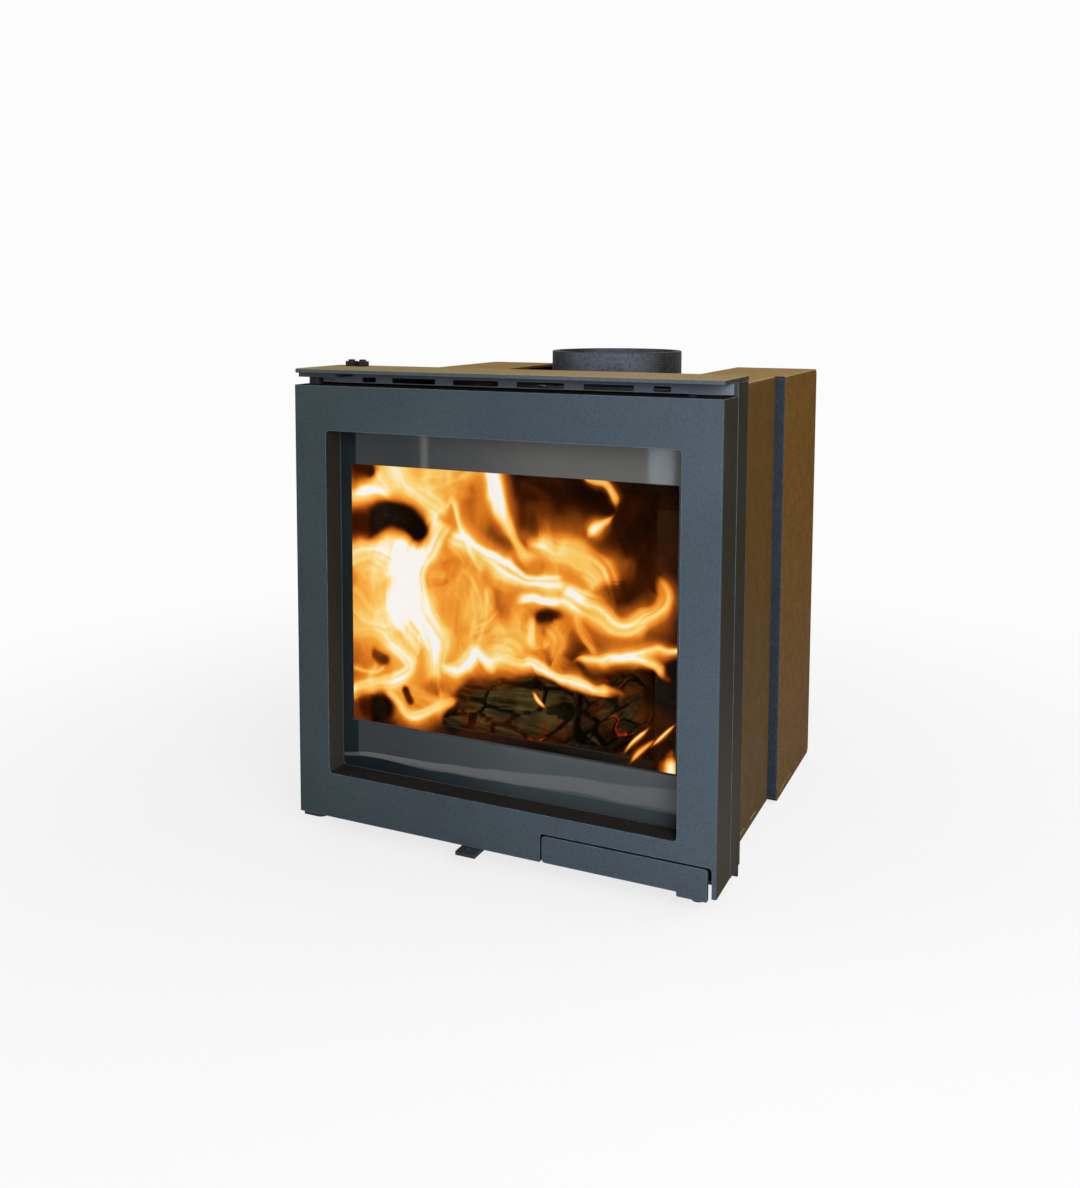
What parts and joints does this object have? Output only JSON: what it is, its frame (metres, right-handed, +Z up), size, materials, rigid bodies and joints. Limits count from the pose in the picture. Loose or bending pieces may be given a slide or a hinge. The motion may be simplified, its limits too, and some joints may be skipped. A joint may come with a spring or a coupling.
{
  "type": "fireplace insert",
  "caption": "Inset wood stove with a glazed side-hung door, latch handle, sliding air lever, slotted warm-air outlet, stepped convection casing and top flue collar.",
  "frame": {"origin": "on the hearth, under the middle of the stove's width and length", "axes": "+X to the right as seen from the front, +Y back into the fireplace, +Z up"},
  "size_m": [0.5, 0.519, 0.556],
  "materials": {
    "stove_paint": "satin charcoal stove paint",
    "casing_paint": "satin dark grey stove paint on folded sheet",
    "dark_steel": "blackened steel",
    "zinc_steel": "plated steel",
    "cast_iron": "rough black casting",
    "fire_brick": "pressed insulating brick",
    "rope_seal": "dark glass-fibre rope",
    "door_glass": "ceramic glass, polished"
  },
  "bodies": {
    "root": {"front_frame": "stove_paint", "top_cover_plate": "stove_paint", "outlet_band": "stove_paint", "latch_keeper": "dark_steel", "hinge_bracket_top": "dark_steel", "hinge_pin_top": "zinc_steel", "hinge_bracket_bottom": "dark_steel", "hinge_pin_bottom": "zinc_steel", "bracket_bolt_1": "zinc_steel", "bracket_bolt_2": "zinc_steel", "convection_top": "casing_paint", "casing_base": "casing_paint", "levelling_foot_front_left": "zinc_steel", "levelling_foot_rear_left": "zinc_steel", "levelling_foot_front_right": "zinc_steel", "levelling_foot_rear_right": "zinc_steel", "casing_side_left": "casing_paint", "casing_side_right": "casing_paint", "jacket_left": "casing_paint", "jacket_right": "casing_paint", "jacket_back": "casing_paint", "firebox_left": "dark_steel", "firebox_right": "dark_steel", "firebox_back": "dark_steel", "firebox_floor": "dark_steel", "firebox_top": "dark_steel", "flue_collar": "cast_iron", "hearth_brick_front": "fire_brick", "hearth_brick_rear": "fire_brick", "hearth_brick_left": "fire_brick", "hearth_brick_right": "fire_brick", "grate": "cast_iron", "brick_left": "fire_brick", "brick_right": "fire_brick", "brick_back": "fire_brick", "baffle_plate": "fire_brick", "log_guard": "cast_iron", "air_wash_deflector": "dark_steel", "damper_guide": "dark_steel"},
    "door": {"door_frame": "stove_paint", "glass_gasket": "rope_seal", "glass_pane": "door_glass", "glass_retainer": "dark_steel", "door_seal": "rope_seal", "hinge_bush_top": "zinc_steel", "hinge_bush_bottom": "zinc_steel", "door_top_button": "zinc_steel", "handle_pivot_pin": "zinc_steel"},
    "handle": {"handle_flap": "stove_paint", "latch_tongue": "dark_steel"},
    "air_slide": {"air_lever": "dark_steel"}
  },
  "joints": [
    {"name": "door_hinge", "type": "hinge", "parent": "root", "child": "door", "pos_m": [-0.23, -0.2295, 0.275], "axis": [0, 0, -1], "range_deg": [0, 110]},
    {"name": "handle_turn", "type": "hinge", "parent": "door", "child": "handle", "pos_m": [0.2285, -0.2355, 0.04], "axis": [0, 0, 1], "range_deg": [0, 26]},
    {"name": "air_slide", "type": "slide", "parent": "root", "child": "air_slide", "axis": [0, -1, 0], "range_m": [-0.006, 0.028]}
  ]
}
